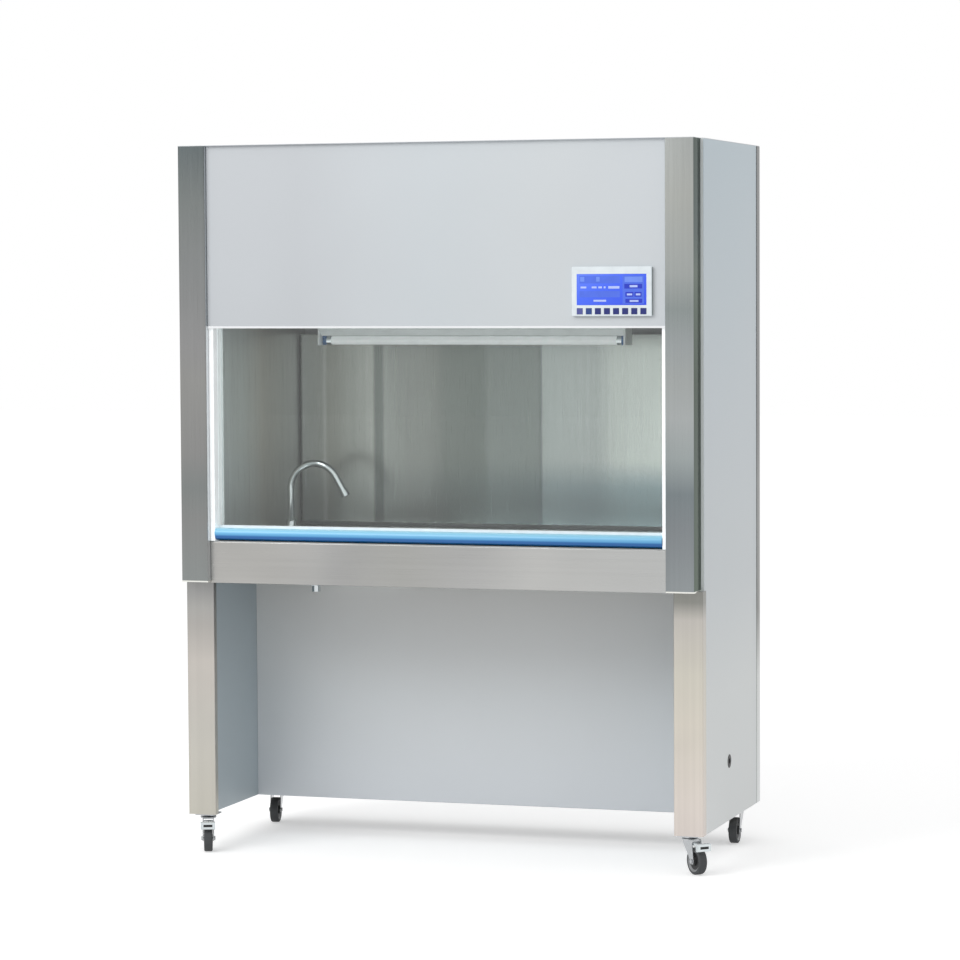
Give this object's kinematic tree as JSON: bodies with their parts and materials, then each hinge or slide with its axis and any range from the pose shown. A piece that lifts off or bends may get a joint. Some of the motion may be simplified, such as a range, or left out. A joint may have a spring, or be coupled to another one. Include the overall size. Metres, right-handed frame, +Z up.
{
  "type": "fume hood",
  "caption": "Free-standing walk-up fume hood: sliding glass sash over a stainless worktop with sink and gooseneck faucet, control panel, knee space and castors.",
  "frame": {"origin": "on the floor under the middle of the footprint", "axes": "+X to the right seen from the front, front faces -Y, +Z up"},
  "size_m": [1.5447, 0.74, 2.026],
  "materials": {
    "brushed_stainless": "brushed, vertical grain",
    "bright_stainless": "polished",
    "chamber_stainless": "polished sheet, soft reflections",
    "painted_panel": "fine satin powder coat, pale blue-grey",
    "painted_fascia": "fine satin powder coat, pale grey",
    "frame_steel": "grey primer",
    "galvanised": "zinc coated sheet",
    "motor_grey": "semi-gloss enamel",
    "chrome_plate": "mirror chrome",
    "lamp_enamel": "white enamel",
    "lamp_holder_blue": "moulded",
    "lamp_glass": "white phosphor inside",
    "guide_white": "extruded white",
    "rail_white": "white powder coat",
    "sash_glass": "clear toughened glass",
    "handle_blue": "smooth extruded",
    "pulley_nylon": "turned nylon",
    "weight_iron": "cast",
    "bezel_white": "moulded",
    "display_blue": "backlit window",
    "key_blue": "moulded",
    "gland_black": "moulded",
    "castor_zinc": "bright zinc",
    "castor_tyre": "moulded",
    "pedal_steel": "bright plate with a dark tread edge"
  },
  "bodies": {
    "cabinet": {"left_upper_column": "brushed_stainless", "right_upper_column": "brushed_stainless", "left_side_panel": "painted_panel", "right_side_panel": "painted_panel", "rear_corner_strips": "bright_stainless", "left_lower_post": "brushed_stainless", "right_lower_post": "brushed_stainless", "left_leg_liner": "painted_panel", "right_leg_liner": "painted_panel", "base_frame": "frame_steel", "knee_back_panel": "painted_panel", "fascia": "painted_fascia", "rear_panel": "painted_panel", "roof_panel": "painted_panel", "worktop": "chamber_stainless", "worktop_apron": "brushed_stainless", "sink_basin": "chamber_stainless", "drain_tail": "chrome_plate", "left_chamber_liner": "chamber_stainless", "right_chamber_liner": "chamber_stainless", "rear_baffle": "chamber_stainless", "chamber_ceiling": "chamber_stainless", "lamp_housing": "lamp_enamel", "lamp_holders": "lamp_holder_blue", "lamp_tube": "lamp_glass", "sash_guides": "guide_white", "pulley_brackets": "galvanised", "panel_bezel": "bezel_white", "display_module": "display_blue", "blower_housing": "galvanised", "blower_motor": "motor_grey", "faucet_base": "chrome_plate", "cable_gland": "gland_black", "castor_plates": "castor_zinc"},
    "sash": {"sash_glass": "sash_glass", "sash_rails": "rail_white", "sash_handle": "handle_blue"},
    "counterweights": {"counterweights": "weight_iron"},
    "left_pulley": {"left_pulley": "pulley_nylon"},
    "right_pulley": {"right_pulley": "pulley_nylon"},
    "impeller": {"blower_impeller": "galvanised"},
    "spout": {"faucet_spout": "chrome_plate"},
    "key_1": {"key_1": "key_blue"},
    "key_2": {"key_2": "key_blue"},
    "key_3": {"key_3": "key_blue"},
    "key_4": {"key_4": "key_blue"},
    "key_5": {"key_5": "key_blue"},
    "key_6": {"key_6": "key_blue"},
    "key_7": {"key_7": "key_blue"},
    "key_8": {"key_8": "key_blue"},
    "front_left_castor": {"front_left_fork": "castor_zinc"},
    "front_left_wheel": {"front_left_wheel": "castor_tyre"},
    "front_left_pedal": {"front_left_brake_pedal": "pedal_steel"},
    "front_right_castor": {"front_right_fork": "castor_zinc"},
    "front_right_wheel": {"front_right_wheel": "castor_tyre"},
    "front_right_pedal": {"front_right_brake_pedal": "pedal_steel"},
    "rear_left_castor": {"rear_left_fork": "castor_zinc"},
    "rear_left_wheel": {"rear_left_wheel": "castor_tyre"},
    "rear_right_castor": {"rear_right_fork": "castor_zinc"},
    "rear_right_wheel": {"rear_right_wheel": "castor_tyre"}
  },
  "joints": [
    {"name": "sash_slide", "type": "slide", "parent": "cabinet", "child": "sash", "axis": [0, 0, 1], "range_m": [0, 0.41]},
    {"name": "counterweight_slide", "type": "slide", "parent": "cabinet", "child": "counterweights", "axis": [0, 0, 1], "range_m": [-0.41, 0]},
    {"name": "left_pulley_spin", "type": "hinge", "parent": "cabinet", "child": "left_pulley", "pos_m": [-0.66775, -0.3165, 1.975], "axis": [0, 1, 0], "range_deg": [-860, 0]},
    {"name": "right_pulley_spin", "type": "hinge", "parent": "cabinet", "child": "right_pulley", "pos_m": [0.66775, -0.3165, 1.975], "axis": [0, 1, 0], "range_deg": [0, 860]},
    {"name": "impeller_spin", "type": "hinge", "parent": "cabinet", "child": "impeller", "pos_m": [0, -0.075, 1.74], "axis": [1, 0, 0], "continuous": true},
    {"name": "spout_swivel", "type": "hinge", "parent": "cabinet", "child": "spout", "pos_m": [-0.603, 0.12, 0.915], "axis": [0, 0, 1], "range_deg": [-95, 95]},
    {"name": "key_1_press", "type": "slide", "parent": "cabinet", "child": "key_1", "axis": [0, 1, 0], "range_m": [0, 0.0008], "stiffness_N_per_m": 1000},
    {"name": "key_2_press", "type": "slide", "parent": "cabinet", "child": "key_2", "axis": [0, 1, 0], "range_m": [0, 0.0008], "stiffness_N_per_m": 1000},
    {"name": "key_3_press", "type": "slide", "parent": "cabinet", "child": "key_3", "axis": [0, 1, 0], "range_m": [0, 0.0008], "stiffness_N_per_m": 1000},
    {"name": "key_4_press", "type": "slide", "parent": "cabinet", "child": "key_4", "axis": [0, 1, 0], "range_m": [0, 0.0008], "stiffness_N_per_m": 1000},
    {"name": "key_5_press", "type": "slide", "parent": "cabinet", "child": "key_5", "axis": [0, 1, 0], "range_m": [0, 0.0008], "stiffness_N_per_m": 1000},
    {"name": "key_6_press", "type": "slide", "parent": "cabinet", "child": "key_6", "axis": [0, 1, 0], "range_m": [0, 0.0008], "stiffness_N_per_m": 1000},
    {"name": "key_7_press", "type": "slide", "parent": "cabinet", "child": "key_7", "axis": [0, 1, 0], "range_m": [0, 0.0008], "stiffness_N_per_m": 1000},
    {"name": "key_8_press", "type": "slide", "parent": "cabinet", "child": "key_8", "axis": [0, 1, 0], "range_m": [0, 0.0008], "stiffness_N_per_m": 1000},
    {"name": "front_left_swivel", "type": "hinge", "parent": "cabinet", "child": "front_left_castor", "pos_m": [-0.714, -0.278, 0.095], "axis": [0, 0, 1], "continuous": true},
    {"name": "front_left_wheel_spin", "type": "hinge", "parent": "front_left_castor", "child": "front_left_wheel", "pos_m": [-0.70038, -0.31348, 0.0375], "axis": [0.9336, 0.3584, 0], "continuous": true},
    {"name": "front_left_brake_press", "type": "hinge", "parent": "front_left_castor", "child": "front_left_pedal", "pos_m": [-0.7097, -0.2892, 0.082], "axis": [0.9336, 0.3584, 0], "range_deg": [0, 5]},
    {"name": "front_right_swivel", "type": "hinge", "parent": "cabinet", "child": "front_right_castor", "pos_m": [0.714, -0.278, 0.095], "axis": [0, 0, 1], "continuous": true},
    {"name": "front_right_wheel_spin", "type": "hinge", "parent": "front_right_castor", "child": "front_right_wheel", "pos_m": [0.7404, -0.30534, 0.0375], "axis": [0.7193, 0.6947, 0], "continuous": true},
    {"name": "front_right_brake_press", "type": "hinge", "parent": "front_right_castor", "child": "front_right_pedal", "pos_m": [0.72234, -0.28663, 0.082], "axis": [0.7193, 0.6947, 0], "range_deg": [0, 5]},
    {"name": "rear_left_swivel", "type": "hinge", "parent": "cabinet", "child": "rear_left_castor", "pos_m": [-0.714, 0.278, 0.095], "axis": [0, 0, 1], "continuous": true},
    {"name": "rear_left_wheel_spin", "type": "hinge", "parent": "rear_left_castor", "child": "rear_left_wheel", "pos_m": [-0.7074, 0.24058, 0.0375], "axis": [0.9848, 0.1736, 0], "continuous": true},
    {"name": "rear_right_swivel", "type": "hinge", "parent": "cabinet", "child": "rear_right_castor", "pos_m": [0.714, 0.278, 0.095], "axis": [0, 0, 1], "continuous": true},
    {"name": "rear_right_wheel_spin", "type": "hinge", "parent": "rear_right_castor", "child": "rear_right_wheel", "pos_m": [0.71533, 0.24002, 0.0375], "axis": [0.9994, 0.0349, 0], "continuous": true}
  ],
  "couplings": [
    {"joint": "counterweight_slide", "follows": "sash_slide", "ratio": -1},
    {"joint": "right_pulley_spin", "follows": "sash_slide", "rad_per_m": 36.036},
    {"joint": "left_pulley_spin", "follows": "sash_slide", "rad_per_m": -36.036}
  ]
}
